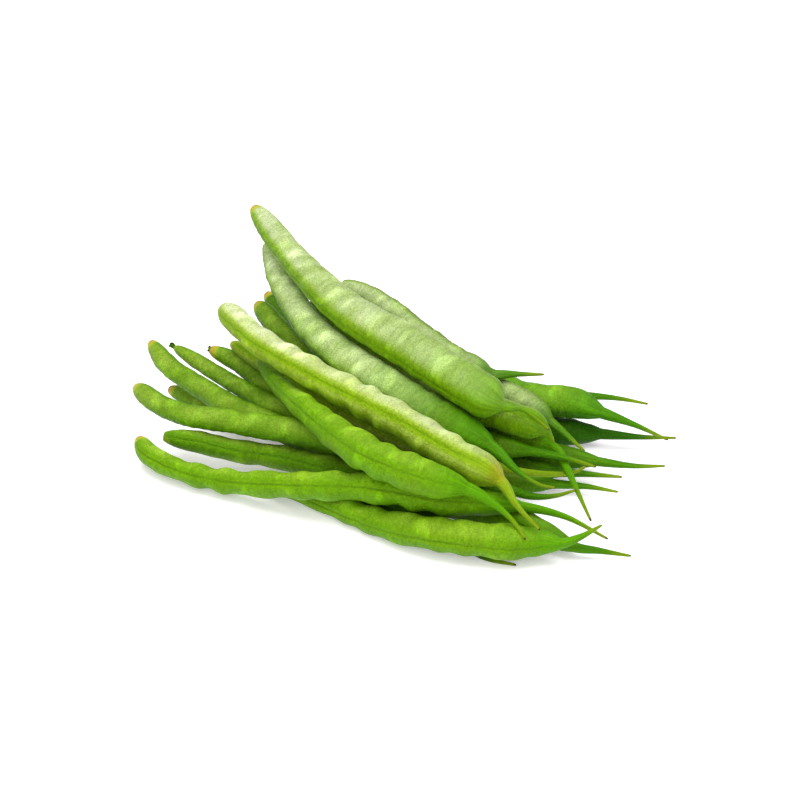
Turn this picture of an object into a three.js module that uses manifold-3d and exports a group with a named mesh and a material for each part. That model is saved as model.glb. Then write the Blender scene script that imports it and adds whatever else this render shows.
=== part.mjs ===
// A bunch of fresh green bean pods lying in a loose fan on a table.
// Units are millimetres, +Z is up, the stem ends point to -X and the beaks to +X.
// Every pod grew in one piece, so every pod is one closed solid.

import * as THREE from 'three';
import Module from 'manifold-3d';

const wasm = await Module();
wasm.setup();

// Where the heap was measured from. A route point is written as it was seen:
// column and row in a square view 800 steps wide, and its height over the table.
const DEGREE = Math.PI / 180;
const FULL_TURN = 2 * Math.PI;
const EYE_RISE = 32 * DEGREE;
const EYE_DISTANCE = 750;
const EYE_STEPS = 2419;
const VIEW_MIDDLE = 400;
const LOOK_AT = new THREE.Vector3(0, 60, 20);
const RIGHT = new THREE.Vector3(1, 0, 0);
const UPWARD = new THREE.Vector3(0, Math.sin(EYE_RISE), Math.cos(EYE_RISE));
const TO_EYE = new THREE.Vector3(0, -Math.cos(EYE_RISE), Math.sin(EYE_RISE));
const EYE = LOOK_AT.clone().addScaledVector(TO_EYE, EYE_DISTANCE);

// A point seen at a column and a row, at a height over the table.
function seen(column, row, height) {
  const ray = TO_EYE.clone().negate();
  ray.addScaledVector(RIGHT, (column - VIEW_MIDDLE) / EYE_STEPS);
  ray.addScaledVector(UPWARD, (VIEW_MIDDLE - row) / EYE_STEPS);
  return EYE.clone().addScaledVector(ray, (height - EYE.z) / ray.z);
}

// A hidden point, given by its column, its depth from front to back and its height.
function laid(column, depth, height) {
  const point = new THREE.Vector3(0, depth, height);
  const away = -point.clone().sub(EYE).dot(TO_EYE);
  point.x = (column - VIEW_MIDDLE) / EYE_STEPS * away;
  return point;
}

// The form that all pods share.
const SCAR_SHARE = 0.4;       // scar radius as a share of the pod's own
const FULL_AT = 0.72;         // where along the body the pod is fullest
const END_CURVE = 2.5;        // how late the body rounds off before the beak
const BEAK_RADIUS = 1.45;
const BEAK_TIP_RADIUS = 0.38;
const BEAK_NECK = 0.55;       // share of the beak that eases into the body
const TIP_ROUNDING = 1.0;
const TIP_END_SHARE = 0.45;
const SEAM_SWELL_SHARE = 0.35; // the seeds widen the pod less than they thicken it
const FIRST_SEED = 0.1;
const SEED_RUN = 0.84;
const SEED_STRAY = 0.16;      // how far a seed sits from its even place, in seed spacings
const STRAY_PACE = 2.2;
const SEED_VARIETY = 0.45;    // how much less some seeds swell than others
const VARIETY_PACE = 1.3;
const LUCK_STEP = 0.618;      // sets each pod's seeds apart from those of the pod before

// How the pods lie against each other and on the table.
const STATION_STEP = 2.0;
const GAP = 0.4;              // clear space kept between neighbours
const GAP_MARGIN = 0.02;
const GIVE_REACH = 14.0;      // a push bends a pod over about this length
const GIVE_ACROSS = 0.35;     // give across the view, as a share of give along it
const GIVE_RATE = 0.8;
const GIVE_ROUNDS = 120;
const FAR_APART = 15;
const REST_CUT = 0.5;         // depth to which the lowest pods are flattened where they rest

// The faceting.
const SIDES = 10;
const BODY_RING_STEP = 4.8;
const RINGS_A_SEED = 3.0;
const CAP_RINGS = [0, 0.06, 0.2, 0.45];  // shares of the rounded stem end
const BEAK_RINGS = 5;

const SKIN_ROUGHNESS = 0.62;

// One entry for each pod: breadth across the seams, thickness, turn of the seam plane
// in degrees at the middle and its twist from end to end, skin colour, fullness at the stem, length of the rounded stem end, share
// of the body at which it begins to fall away to the beak, share of the breadth left
// where the beak begins, seeds, depth of the seed swellings, the route of the body
// from the stem scar, and that of the beak to its tip.
const PODS = [
  {
    name: 'pod_top', breadth: 13.6, thick: 10.4, turn: -30, twist: 0, color: 0xa3bd5e,
    stem: 0.58, cap: 13, fall: 0.94, neck: 0.22, seeds: 13, swell: 0.05,
    slim: 0.45,
    body: [seen(254, 208, 57.5), seen(298, 263, 51), seen(346, 309, 45), seen(412, 350, 39),
      seen(460, 384, 34.5), seen(503, 408, 31)],
    beak: [seen(520, 409.5, 28.5), seen(536, 419, 25.5), seen(549, 430, 22.5)],
  },
  {
    name: 'pod_upper', breadth: 12.4, thick: 9.6, turn: -30, twist: 0, color: 0x92b35a,
    stem: 0.64, cap: 18, fall: 0.86, neck: 0.34, seeds: 12, swell: 0.06,
    slim: 1,
    body: [seen(267, 245, 45), seen(286, 291, 40), seen(325, 342, 34.5), seen(397, 393, 28.5),
      seen(449, 422, 25), seen(491, 446, 22)],
    beak: [seen(520, 473, 18), seen(540, 485, 15.5), seen(556, 488, 14)],
  },
  {
    name: 'pod_pale', breadth: 10.8, thick: 10.6, turn: 36, twist: 35, color: 0xb4cb62,
    stem: 0.8, cap: 7, fall: 0.93, neck: 0.36, seeds: 9, swell: 0.1,
    slim: 1,
    body: [seen(223, 308, 36), seen(262, 343, 34), seen(320, 377, 31), seen(400, 420, 28),
      seen(455, 455, 25), seen(500, 481, 20.5)],
    beak: [seen(517, 506, 17), seen(540, 530, 13)],
  },
  {
    name: 'pod_seamed', breadth: 11, thick: 11.2, turn: 32, twist: 0, color: 0x7fb02c,
    stem: 0.46, cap: 14, fall: 0.84, neck: 0.38, seeds: 8, swell: 0.075,
    slim: 1,
    body: [seen(262, 362, 21), seen(283, 389, 22.6), seen(320, 421, 24), seen(376, 460, 24),
      seen(430, 480, 23), seen(466, 489, 21)],
    beak: [seen(492, 503, 18), seen(514, 523, 14), seen(525, 540, 11)],
  },
  {
    name: 'pod_front_long', breadth: 9.4, thick: 9.2, turn: 32, twist: 0, color: 0x7dae34,
    stem: 0.74, cap: 8, fall: 0.84, neck: 0.34, seeds: 9, swell: 0.12,
    slim: 1,
    body: [seen(139, 439, 8), seen(150, 455, 6.4), seen(180, 470, 5.5), seen(225, 481, 5.8),
      seen(300, 486, 10.6), seen(370, 488, 14), seen(440, 497, 13.5), seen(520, 507, 11)],
    beak: [seen(565, 517, 7.5), seen(608, 539, 3)],
  },
  {
    name: 'pod_front_low', breadth: 11, thick: 10.4, turn: 10, twist: 0, color: 0x76aa30,
    stem: 0.55, cap: 12, fall: 0.82, neck: 0.3, seeds: 8, swell: 0.08,
    slim: 1,
    body: [seen(262, 479, 4.4), seen(300, 492, 5), seen(350, 510, 5.2), seen(400, 526, 5.8),
      seen(440, 534, 6.8), seen(500, 541, 7.4), seen(543, 541.5, 7), seen(562, 543, 7.6)],
    beak: [seen(582, 536, 9), seen(602, 525, 11)],
  },
  {
    name: 'pod_front_under', breadth: 9.8, thick: 9.2, turn: 36, twist: 0, color: 0x6fa32c,
    stem: 0.76, cap: 11, fall: 0.82, neck: 0.34, seeds: 9, swell: 0.07,
    slim: 1,
    body: [seen(164, 436, 10.5), seen(200, 442, 9), seen(240, 451, 7.5), seen(300, 457, 5.6),
      seen(360, 470, 4.6), seen(440, 500, 4.4), seen(505, 520, 4.6), seen(552, 538, 4.6),
      seen(574, 547.5, 4)],
    beak: [seen(600, 551, 3.4), seen(631, 556, 2.6)],
  },
  {
    name: 'pod_left_steep', breadth: 9.3, thick: 8, turn: -40, twist: 0, color: 0x7ca83a,
    stem: 0.74, cap: 12, fall: 0.84, neck: 0.36, seeds: 8, swell: 0.04,
    slim: 1,
    body: [seen(151, 343, 17), seen(169, 366, 15), seen(205, 390.5, 13), seen(240, 411, 12),
      seen(262, 420, 11.5), laid(330, 52, 7), laid(400, 43.5, 4.6), laid(475, 28, 3.8)],
    beak: [laid(530, 18, 2.6)],
  },
  {
    name: 'pod_left_slim', breadth: 8.8, thick: 7.8, turn: -40, twist: 0, color: 0x74a138,
    stem: 0.62, cap: 12, fall: 0.84, neck: 0.36, seeds: 8, swell: 0.04,
    slim: 1,
    body: [seen(176, 348, 15), seen(201, 364, 13.5), seen(224, 378, 12.8), seen(262, 401, 12.5),
      seen(295, 417, 11.5), laid(350, 65, 6.4), laid(420, 58, 4.2), laid(490, 50, 4.2),
      seen(560, 470, 4.2)],
    beak: [seen(592, 474, 3.6), seen(622, 477, 3)],
  },
  {
    name: 'pod_left_low', breadth: 8.6, thick: 7.4, turn: -50, twist: 0, color: 0x66962c,
    stem: 0.7, cap: 9, fall: 0.84, neck: 0.36, seeds: 7, swell: 0.05,
    slim: 1,
    body: [seen(170, 389, 5), laid(215, 80, 4.2), laid(262, 72, 3.8), laid(320, 62, 3.8),
      laid(400, 52.5, 3.8), laid(480, 40, 3.8), seen(555, 484, 4)],
    beak: [seen(590, 487, 3.4), seen(618, 492, 3)],
  },
  {
    name: 'pod_left_level', breadth: 9.4, thick: 8.2, turn: -40, twist: 0, color: 0x86b048,
    stem: 0.74, cap: 8, fall: 0.84, neck: 0.36, seeds: 7, swell: 0.05,
    slim: 1,
    body: [seen(136, 387, 16), seen(160, 405, 15.5), seen(185, 415, 15.5), seen(220, 420, 16),
      seen(262, 426, 16), seen(300, 431, 16), seen(340, 440, 15.5), laid(390, 33, 14.5),
      laid(450, 22, 13.5), seen(505, 491, 11.5)],
    beak: [seen(532, 497, 10), seen(555, 496, 9.5), seen(576, 490, 9)],
  },
  {
    name: 'pod_mid_shaded', breadth: 9.6, thick: 8.4, turn: 50, twist: 0, color: 0x6a9428,
    stem: 0.7, cap: 10, fall: 0.84, neck: 0.36, seeds: 7, swell: 0.07,
    slim: 1,
    body: [seen(232, 345, 20), seen(300, 389, 18.5), seen(370, 427, 16), seen(430, 452, 14.5),
      seen(505, 470, 12)],
    beak: [seen(555, 474, 8.5), seen(575, 472, 7), seen(586, 466, 6.5)],
  },
  {
    name: 'pod_mid_slim', breadth: 9.2, thick: 8, turn: -50, twist: 0, color: 0x719f38,
    stem: 0.7, cap: 10, fall: 0.8, neck: 0.36, seeds: 8, swell: 0.05,
    slim: 1,
    body: [seen(211, 349, 17), seen(240, 362, 15.5), seen(268, 384, 14), seen(300, 402, 13),
      laid(340, 67, 13.5), laid(420, 54, 14), seen(495, 446, 14.5), seen(530, 451, 14)],
    beak: [seen(563, 457.5, 12.7), seen(596, 467, 11)],
  },
  {
    name: 'pod_mid_scarred', breadth: 8.8, thick: 7.8, turn: -50, twist: 0, color: 0x7ea843,
    stem: 0.82, cap: 8, fall: 0.84, neck: 0.36, seeds: 8, swell: 0.05,
    slim: 1,
    body: [seen(257, 304, 28), seen(287, 337, 24), seen(322, 368, 20), laid(420, 66, 13),
      seen(505, 441, 10), seen(597, 461, 5.5)],
    beak: [seen(635, 466, 5), seen(665, 466, 4.5)],
  },
  {
    name: 'pod_back_low', breadth: 10, thick: 8.4, turn: -50, twist: 0, color: 0x558a24,
    stem: 0.66, cap: 10, fall: 0.86, neck: 0.36, seeds: 7, swell: 0.06,
    slim: 1,
    body: [seen(267, 294, 20), seen(290, 325, 16), laid(340, 99, 8), laid(430, 84, 4.6),
      laid(520, 68, 4.4), seen(601, 434, 4.8)],
    beak: [seen(640, 437, 4.4), seen(676, 438, 4)],
  },
  {
    name: 'pod_back_broad', breadth: 11, thick: 9, turn: -30, twist: 0, color: 0x76a336,
    stem: 0.6, cap: 8, fall: 0.86, neck: 0.36, seeds: 7, swell: 0.07,
    slim: 1,
    body: [laid(318, 116, 14), laid(370, 105, 14.5), laid(450, 88, 14.5), seen(530, 400, 14.5),
      seen(572, 403, 14.5), seen(602, 413, 14)],
    beak: [seen(635, 425, 11.5), seen(668, 440, 8)],
  },
  {
    name: 'pod_back_far', breadth: 9.6, thick: 8, turn: -30, twist: 0, color: 0x629330,
    stem: 0.7, cap: 8, fall: 0.84, neck: 0.36, seeds: 7, swell: 0.06,
    slim: 1,
    body: [laid(330, 115, 4.2), laid(400, 104, 4.2), laid(480, 92, 4.2), seen(530, 398, 4.2),
      seen(572, 396, 4.2)],
    beak: [seen(600, 396.5, 4), seen(622, 399, 3.6), seen(648, 404, 3)],
  },
  {
    name: 'pod_under_top', breadth: 11, thick: 9.6, turn: 70, twist: 0, color: 0x8cb444,
    stem: 0.55, cap: 12, fall: 0.92, neck: 0.4, seeds: 10, swell: 0.05,
    slim: 1,
    body: [seen(312, 302, 37), seen(345, 334, 33), seen(400, 372, 28.5), seen(460, 401, 25),
      seen(515, 420, 21), seen(545, 432, 18.5)],
    beak: [seen(551, 438, 17), seen(554, 443, 16)],
  },
  {
    name: 'pod_mid_downward', breadth: 10, thick: 8.6, turn: 75, twist: 0, color: 0x78a834,
    stem: 0.7, cap: 8, fall: 0.88, neck: 0.4, seeds: 6, swell: 0.05,
    slim: 1,
    body: [seen(430, 402, 14), seen(492, 428, 12.2), seen(553, 449, 10.6)],
    beak: [seen(566, 468, 9.6), seen(578, 493, 7.8), seen(591, 521, 4.5)],
  },
  {
    name: 'pod_back_high', breadth: 8.4, thick: 8, turn: -50, twist: 0, color: 0x9ab664,
    stem: 0.7, cap: 10, fall: 0.84, neck: 0.36, seeds: 8, swell: 0.06,
    slim: 1,
    body: [seen(400, 342, 27), seen(450, 371, 24), seen(495, 400, 20), seen(520, 415.5, 17.2),
      seen(545, 430, 14.6)],
    beak: [seen(564, 440, 12.5), seen(584, 453, 10)],
  },
  {
    name: 'pod_back_short', breadth: 10.4, thick: 8.6, turn: -50, twist: 0, color: 0x90b052,
    stem: 0.72, cap: 9, fall: 0.88, neck: 0.36, seeds: 13, swell: 0.045,
    slim: 1,
    body: [seen(342, 284, 41), seen(380, 303.5, 37), seen(422, 339, 33), seen(460, 366, 30.5),
      seen(491, 375.5, 28.6)],
    beak: [seen(510, 374.5, 27.9), seen(527, 374.5, 27.2), seen(544, 374.5, 26.5)],
  },
  {
    name: 'pod_under_front', breadth: 7.6, thick: 7, turn: 20, twist: 0, color: 0x6f9c30,
    stem: 0.75, cap: 6, fall: 0.84, neck: 0.36, seeds: 4, swell: 0.05,
    slim: 1,
    body: [laid(322, 37, 3.6), laid(355, 32, 3.6), laid(400, 23.5, 3.6), laid(436, 14.5, 3.6),
      laid(452, 10.5, 2.8)],
    beak: [laid(484, 2.5, 1.3), seen(516, 565, 1.2)],
  },
];

const clamp01 = (x) => Math.min(1, Math.max(0, x));
const ease = (x) => clamp01(x) * clamp01(x) * (3 - 2 * clamp01(x));
const mix = (a, b, w) => a + (b - a) * w;

// Centripetal Catmull-Rom curve through the points, in short straight steps.
function curveThrough(points, steps) {
  const before = points[0].clone().multiplyScalar(2).sub(points[1]);
  const last = points.length - 1;
  const after = points[last].clone().multiplyScalar(2).sub(points[last - 1]);
  const p = [before, ...points, after];
  const curve = [];
  for (let i = 1; i < p.length - 2; i += 1) {
    const d = [0, 1, 2].map((k) => Math.sqrt(p[i + k].distanceTo(p[i + k - 1])));
    const slope = (k) => new THREE.Vector3()
      .addScaledVector(p[i + k].clone().sub(p[i + k - 1]), 1 / d[k])
      .addScaledVector(p[i + k + 1].clone().sub(p[i + k - 1]), -1 / (d[k] + d[k + 1]))
      .addScaledVector(p[i + k + 1].clone().sub(p[i + k]), 1 / d[k + 1])
      .multiplyScalar(d[1]);
    const m1 = slope(0);
    const m2 = slope(1);
    for (let k = 0; k < steps; k += 1) {
      const w = k / steps;
      curve.push(new THREE.Vector3()
        .addScaledVector(p[i], 2 * w ** 3 - 3 * w * w + 1)
        .addScaledVector(m1, w ** 3 - 2 * w * w + w)
        .addScaledVector(p[i + 1], 3 * w * w - 2 * w ** 3)
        .addScaledVector(m2, w ** 3 - w * w));
    }
  }
  curve.push(points[last].clone());
  return curve;
}

function lengthsAlong(points) {
  const sums = [0];
  for (let i = 1; i < points.length; i += 1) {
    sums.push(sums[i - 1] + points[i].distanceTo(points[i - 1]));
  }
  return sums;
}

// The point at a given length along a line of points.
function pointAt(points, lengths, wanted) {
  let i = 1;
  while (i < lengths.length - 1 && lengths[i] < wanted) {
    i += 1;
  }
  const w = (wanted - lengths[i - 1]) / (lengths[i] - lengths[i - 1]);
  return points[i - 1].clone().lerp(points[i], clamp01(w));
}

const CURVE_STEPS = 40;

// Radii across the seams and across the flat sides at a length s from the stem scar.
function radiiAt(pod, s) {
  const half = pod.breadth / 2;
  const halfThick = pod.thick / 2;
  const tip = s > pod.length - TIP_ROUNDING ? (pod.length - s) / TIP_ROUNDING : 1;
  const tipRound = mix(TIP_END_SHARE, 1, Math.sqrt(1 - (1 - clamp01(tip)) ** 2));
  if (s > pod.bodyLength) {
    const k = (s - pod.bodyLength) / (pod.length - pod.bodyLength);
    const neck = 1 - ease(k / BEAK_NECK);
    const root = BEAK_RADIUS * pod.slim;
    const beak = mix(root, BEAK_TIP_RADIUS, k);
    const wide = beak + (half * pod.neck - root) * neck;
    const thick = beak + (halfThick * pod.neck - root) * neck;
    return [wide * tipRound, thick * tipRound];
  }
  const t = s / pod.bodyLength;
  const shoulder = 1 - Math.min(s / pod.cap, 1);
  const cap = Math.sqrt(1 - (1 - SCAR_SHARE ** 2) * shoulder * shoulder);
  const taper = mix(pod.stem, 1, ease(t / FULL_AT));
  const fall = mix(1, pod.neck, clamp01((t - pod.fall) / (1 - pod.fall)) ** END_CURVE);
  const inside = ease((t - 0.08) / 0.12) * ease((0.96 - t) / 0.1);
  const seed = pod.seeds * (t - FIRST_SEED) / SEED_RUN;
  const stray = SEED_STRAY * Math.sin(STRAY_PACE * seed + FULL_TURN * pod.luck);
  const variety = 1 - SEED_VARIETY * (0.5 + 0.5 * Math.sin(VARIETY_PACE * seed + 3 * FULL_TURN * pod.luck));
  const wave = inside * variety * Math.cos(FULL_TURN * (seed + stray));
  const form = cap * taper * fall;
  return [half * form * (1 + pod.swell * SEAM_SWELL_SHARE * wave), halfThick * form * (1 + pod.swell * wave)];
}

// How far the seam plane is turned about the pod's length, s mm from the scar.
function turnAt(pod, s) {
  return (pod.turn + pod.twist * (Math.min(s / pod.bodyLength, 1) - 0.5)) * DEGREE;
}

// The directions across a pod at every station: toward the seam and toward the flat side.
function setDirections(pod) {
  const c = pod.stations;
  pod.seamWay = [];
  pod.sideWay = [];
  for (let i = 0; i < c.length; i += 1) {
    const along = c[Math.min(i + 1, c.length - 1)].clone().sub(c[Math.max(i - 1, 0)]).normalize();
    const front = along.clone().cross(new THREE.Vector3(0, 0, 1)).normalize();
    const over = front.clone().cross(along);
    const turn = turnAt(pod, pod.at[i]);
    pod.seamWay.push(front.clone().multiplyScalar(Math.cos(turn)).addScaledVector(over, Math.sin(turn)));
    pod.sideWay.push(front.clone().multiplyScalar(-Math.sin(turn)).addScaledVector(over, Math.cos(turn)));
  }
}

function setStations(pod) {
  const curve = curveThrough([...pod.body, ...pod.beak], CURVE_STEPS);
  const lengths = lengthsAlong(curve);
  pod.length = lengths[lengths.length - 1];
  pod.bodyLength = lengths[(pod.body.length - 1) * CURVE_STEPS];
  const bodySteps = Math.max(2, Math.floor(pod.bodyLength / STATION_STEP));
  const beakSteps = Math.max(2, Math.floor((pod.length - pod.bodyLength) / STATION_STEP));
  pod.at = [];
  for (let i = 0; i <= bodySteps; i += 1) {
    pod.at.push(pod.bodyLength * i / bodySteps);
  }
  for (let i = 1; i <= beakSteps; i += 1) {
    pod.at.push(pod.bodyLength + (pod.length - pod.bodyLength) * i / beakSteps);
  }
  pod.stations = pod.at.map((s) => pointAt(curve, lengths, s));
  pod.radii = pod.at.map((s) => radiiAt(pod, s));
  setDirections(pod);
}

// How far the oval section at station i reaches in the direction n.
function reachToward(pod, i, n) {
  const a = pod.radii[i][0] * pod.seamWay[i].dot(n);
  const b = pod.radii[i][1] * pod.sideWay[i].dot(n);
  return Math.sqrt(a * a + b * b);
}

// The place where two pods come closest: stations, clear space and direction.
function closest(a, b) {
  let best = { clear: Infinity };
  for (let i = 0; i < a.stations.length; i += 1) {
    for (let j = 0; j < b.stations.length; j += 1) {
      const apart = b.stations[j].clone().sub(a.stations[i]);
      const length = apart.length();
      if (length < FAR_APART) {
        const way = apart.multiplyScalar(1 / length);
        const clear = length - reachToward(a, i, way) - reachToward(b, j, way);
        if (clear < best.clear) {
          best = { clear, i, j, way };
        }
      }
    }
  }
  return best;
}

// A push at station k bends the pod there and fades out along its length.
function bendAt(pod, moves, k, push) {
  moves.forEach((move, i) => {
    move.addScaledVector(push, Math.exp(-(((pod.at[i] - pod.at[k]) / GIVE_REACH) ** 2)));
  });
}

// Pods that press into each other give way a little at a time, mostly toward or
// away from the eye, until every neighbour is clear by the gap, and none goes
// below the table.
function easeApart(pods) {
  for (let round = 0; round < GIVE_ROUNDS; round += 1) {
    let tight = false;
    const moves = pods.map((pod) => pod.stations.map(() => new THREE.Vector3()));
    for (let a = 0; a < pods.length; a += 1) {
      for (let b = a + 1; b < pods.length; b += 1) {
        const near = closest(pods[a], pods[b]);
        if (near.clear < GAP) {
          tight = true;
          const parts = [RIGHT, UPWARD, TO_EYE].map((way) => near.way.dot(way));
          const give = [GIVE_ACROSS, GIVE_ACROSS, 1];
          const whole = parts.reduce((sum, part, k) => sum + give[k] * part * part, 0);
          const amount = (GAP + GAP_MARGIN - near.clear) * 0.5 / whole;
          const push = new THREE.Vector3();
          [RIGHT, UPWARD, TO_EYE].forEach((way, k) => {
            push.addScaledVector(way, give[k] * parts[k] * amount);
          });
          bendAt(pods[a], moves[a], near.i, push.clone().negate());
          bendAt(pods[b], moves[b], near.j, push);
        }
      }
    }
    pods.forEach((pod, p) => {
      pod.stations.forEach((point, i) => point.addScaledVector(moves[p][i], GIVE_RATE));
      const down = new THREE.Vector3(0, 0, -1);
      const lows = pod.stations.map((point, i) => point.z - reachToward(pod, i, down));
      const low = Math.min(...lows);
      if (low < 0) {
        const lift = pod.stations.map(() => new THREE.Vector3());
        bendAt(pod, lift, lows.indexOf(low), new THREE.Vector3(0, 0, -low));
        pod.stations.forEach((point, i) => point.add(lift[i]));
      }
      setDirections(pod);
    });
    if (!tight) {
      return;
    }
  }
}

// Ring places along a pod: close together at the blunt stem end, even along the
// body so that each seed swelling shows, and a few along the beak.
function ringPlaces(pod) {
  const places = CAP_RINGS.map((share) => share * pod.cap);
  const seedStep = pod.bodyLength * SEED_RUN / pod.seeds / RINGS_A_SEED;
  const bodyRings = Math.round((pod.bodyLength - pod.cap) / Math.min(BODY_RING_STEP, seedStep));
  for (let i = 0; i <= bodyRings; i += 1) {
    places.push(mix(pod.cap, pod.bodyLength, i / bodyRings));
  }
  const beakEnd = pod.length - TIP_ROUNDING;
  for (let i = 1; i <= BEAK_RINGS; i += 1) {
    places.push(mix(pod.bodyLength, beakEnd, i / BEAK_RINGS));
  }
  places.push(pod.length - TIP_ROUNDING / 4, pod.length);
  return places;
}

// One closed solid: rings of points skinned together, with a flat scar at the stem
// end and a small blunt end on the beak.
function podSolid(pod) {
  const lengths = lengthsAlong(pod.stations);
  const whole = lengths[lengths.length - 1];
  const places = ringPlaces(pod);
  const points = [];
  places.forEach((s) => {
    const real = s / pod.length * whole;
    const c = pointAt(pod.stations, lengths, real);
    const along = pointAt(pod.stations, lengths, Math.min(real + STATION_STEP, whole))
      .sub(pointAt(pod.stations, lengths, Math.max(real - STATION_STEP, 0))).normalize();
    const front = along.clone().cross(new THREE.Vector3(0, 0, 1)).normalize();
    const over = front.clone().cross(along);
    const [wide, thick] = radiiAt(pod, s);
    const turn = turnAt(pod, s);
    for (let k = 0; k < SIDES; k += 1) {
      const round = FULL_TURN * k / SIDES;
      const a = wide * Math.cos(round);
      const b = thick * Math.sin(round);
      points.push(c.clone()
        .addScaledVector(front, a * Math.cos(turn) - b * Math.sin(turn))
        .addScaledVector(over, a * Math.sin(turn) + b * Math.cos(turn)));
    }
  });
  const faces = [];
  for (let i = 0; i < places.length - 1; i += 1) {
    for (let k = 0; k < SIDES; k += 1) {
      const next = (k + 1) % SIDES;
      const [a, b, c, d] = [i * SIDES + k, i * SIDES + next, (i + 1) * SIDES + next, (i + 1) * SIDES + k];
      faces.push(a, c, b, a, d, c);
    }
  }
  const end = (places.length - 1) * SIDES;
  for (let k = 1; k < SIDES - 1; k += 1) {
    faces.push(0, k, k + 1);
    faces.push(end, end + k + 1, end + k);
  }
  return new wasm.Manifold(new wasm.Mesh({
    numProp: 3,
    vertProperties: new Float32Array(points.flatMap((p) => [p.x, p.y, p.z])),
    triVerts: new Uint32Array(faces),
  }));
}

// A block under the table top, which takes the rest flats off the lowest pods.
const BLOCK = 600;
function tableBlock() {
  const box = new THREE.BoxGeometry(BLOCK, BLOCK, BLOCK);
  const place = box.getAttribute('position');
  const corners = [];
  const seenCorners = new Map();
  const faces = [];
  for (let i = 0; i < box.index.count; i += 1) {
    const v = box.index.getX(i);
    const at = [place.getX(v), place.getY(v), place.getZ(v) - BLOCK / 2 + REST_CUT];
    const key = at.join();
    if (!seenCorners.has(key)) {
      seenCorners.set(key, corners.length / 3);
      corners.push(...at);
    }
    faces.push(seenCorners.get(key));
  }
  return new wasm.Manifold(new wasm.Mesh({
    numProp: 3,
    vertProperties: new Float32Array(corners),
    triVerts: new Uint32Array(faces),
  }));
}

const pods = PODS.map((pod, number) => ({ ...pod, luck: (number * LUCK_STEP) % 1 }));
pods.forEach(setStations);
easeApart(pods);

const block = tableBlock();
const bunch = new THREE.Group();
bunch.name = 'green_bean_bundle';
const bounds = new THREE.Box3();
pods.forEach((pod) => {
  const cut = podSolid(pod).subtract(block).getMesh();
  const geometry = new THREE.BufferGeometry();
  const count = cut.vertProperties.length / cut.numProp;
  const place = new Float32Array(count * 3);
  for (let i = 0; i < count; i += 1) {
    place.set(cut.vertProperties.subarray(i * cut.numProp, i * cut.numProp + 3), i * 3);
  }
  geometry.setAttribute('position', new THREE.BufferAttribute(place, 3));
  geometry.setIndex(Array.from(cut.triVerts));
  geometry.computeBoundingBox();
  bounds.union(geometry.boundingBox);
  const skin = new THREE.MeshStandardMaterial({ color: pod.color, roughness: SKIN_ROUGHNESS, metalness: 0 });
  skin.name = `skin_${pod.name}`;
  const mesh = new THREE.Mesh(geometry, skin);
  mesh.name = pod.name;
  bunch.add(mesh);
});

// The origin is the middle of the bunch, at table height.
const middle = bounds.getCenter(new THREE.Vector3());
bunch.children.forEach((mesh) => {
  mesh.geometry.translate(-middle.x, -middle.y, -bounds.min.z);
});

export default bunch;
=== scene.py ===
"""A bunch of fresh green bean pods on a white table, lit softly from above.

The frame is in metres; the forms are worked out in millimetres and scaled at the end.
"""
import math

import bpy
import numpy as np
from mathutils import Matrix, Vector


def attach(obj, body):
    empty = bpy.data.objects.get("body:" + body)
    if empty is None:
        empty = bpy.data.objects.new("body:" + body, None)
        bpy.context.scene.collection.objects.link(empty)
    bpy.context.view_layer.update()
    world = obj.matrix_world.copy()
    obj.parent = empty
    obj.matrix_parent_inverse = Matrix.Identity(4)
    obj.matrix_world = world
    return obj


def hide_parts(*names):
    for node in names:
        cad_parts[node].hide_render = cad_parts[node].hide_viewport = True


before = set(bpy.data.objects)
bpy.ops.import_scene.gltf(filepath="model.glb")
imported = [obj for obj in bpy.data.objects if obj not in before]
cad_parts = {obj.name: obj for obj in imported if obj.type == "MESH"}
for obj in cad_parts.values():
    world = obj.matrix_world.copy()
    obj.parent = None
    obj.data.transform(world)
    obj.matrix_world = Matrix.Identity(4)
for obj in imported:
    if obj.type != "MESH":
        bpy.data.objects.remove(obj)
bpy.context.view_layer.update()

MM = 0.001

# the eye from which the places of the pods are named, as in the part's source
EYE_RISE = math.radians(32)
EYE_DISTANCE = 750.0
EYE_STEPS = 2419.0        # steps of the view that a thing as large as its own distance takes
VIEW_STEPS = 800.0
VIEW_MIDDLE = VIEW_STEPS / 2
LOOK_AT = np.array([0.0, 60.0, 20.0])
RIGHT = np.array([1.0, 0.0, 0.0])
UPWARD = np.array([0.0, math.sin(EYE_RISE), math.cos(EYE_RISE)])
TO_EYE = np.array([0.0, -math.cos(EYE_RISE), math.sin(EYE_RISE)])
EYE = LOOK_AT + TO_EYE * EYE_DISTANCE
STRAIGHT_UP = np.array([0.0, 0.0, 1.0])


def seen(column, row, height):
    """A point seen at a column and a row, at a height over the table."""
    ray = -TO_EYE + RIGHT * (column - VIEW_MIDDLE) / EYE_STEPS + UPWARD * (VIEW_MIDDLE - row) / EYE_STEPS
    return EYE + ray * (height - EYE[2]) / ray[2]


def laid(column, depth, height):
    """A hidden point, by its column, its depth from front to back and its height."""
    point = np.array([0.0, depth, height])
    away = -(point - EYE) @ TO_EYE
    point[0] = (column - VIEW_MIDDLE) / EYE_STEPS * away
    return point


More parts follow.
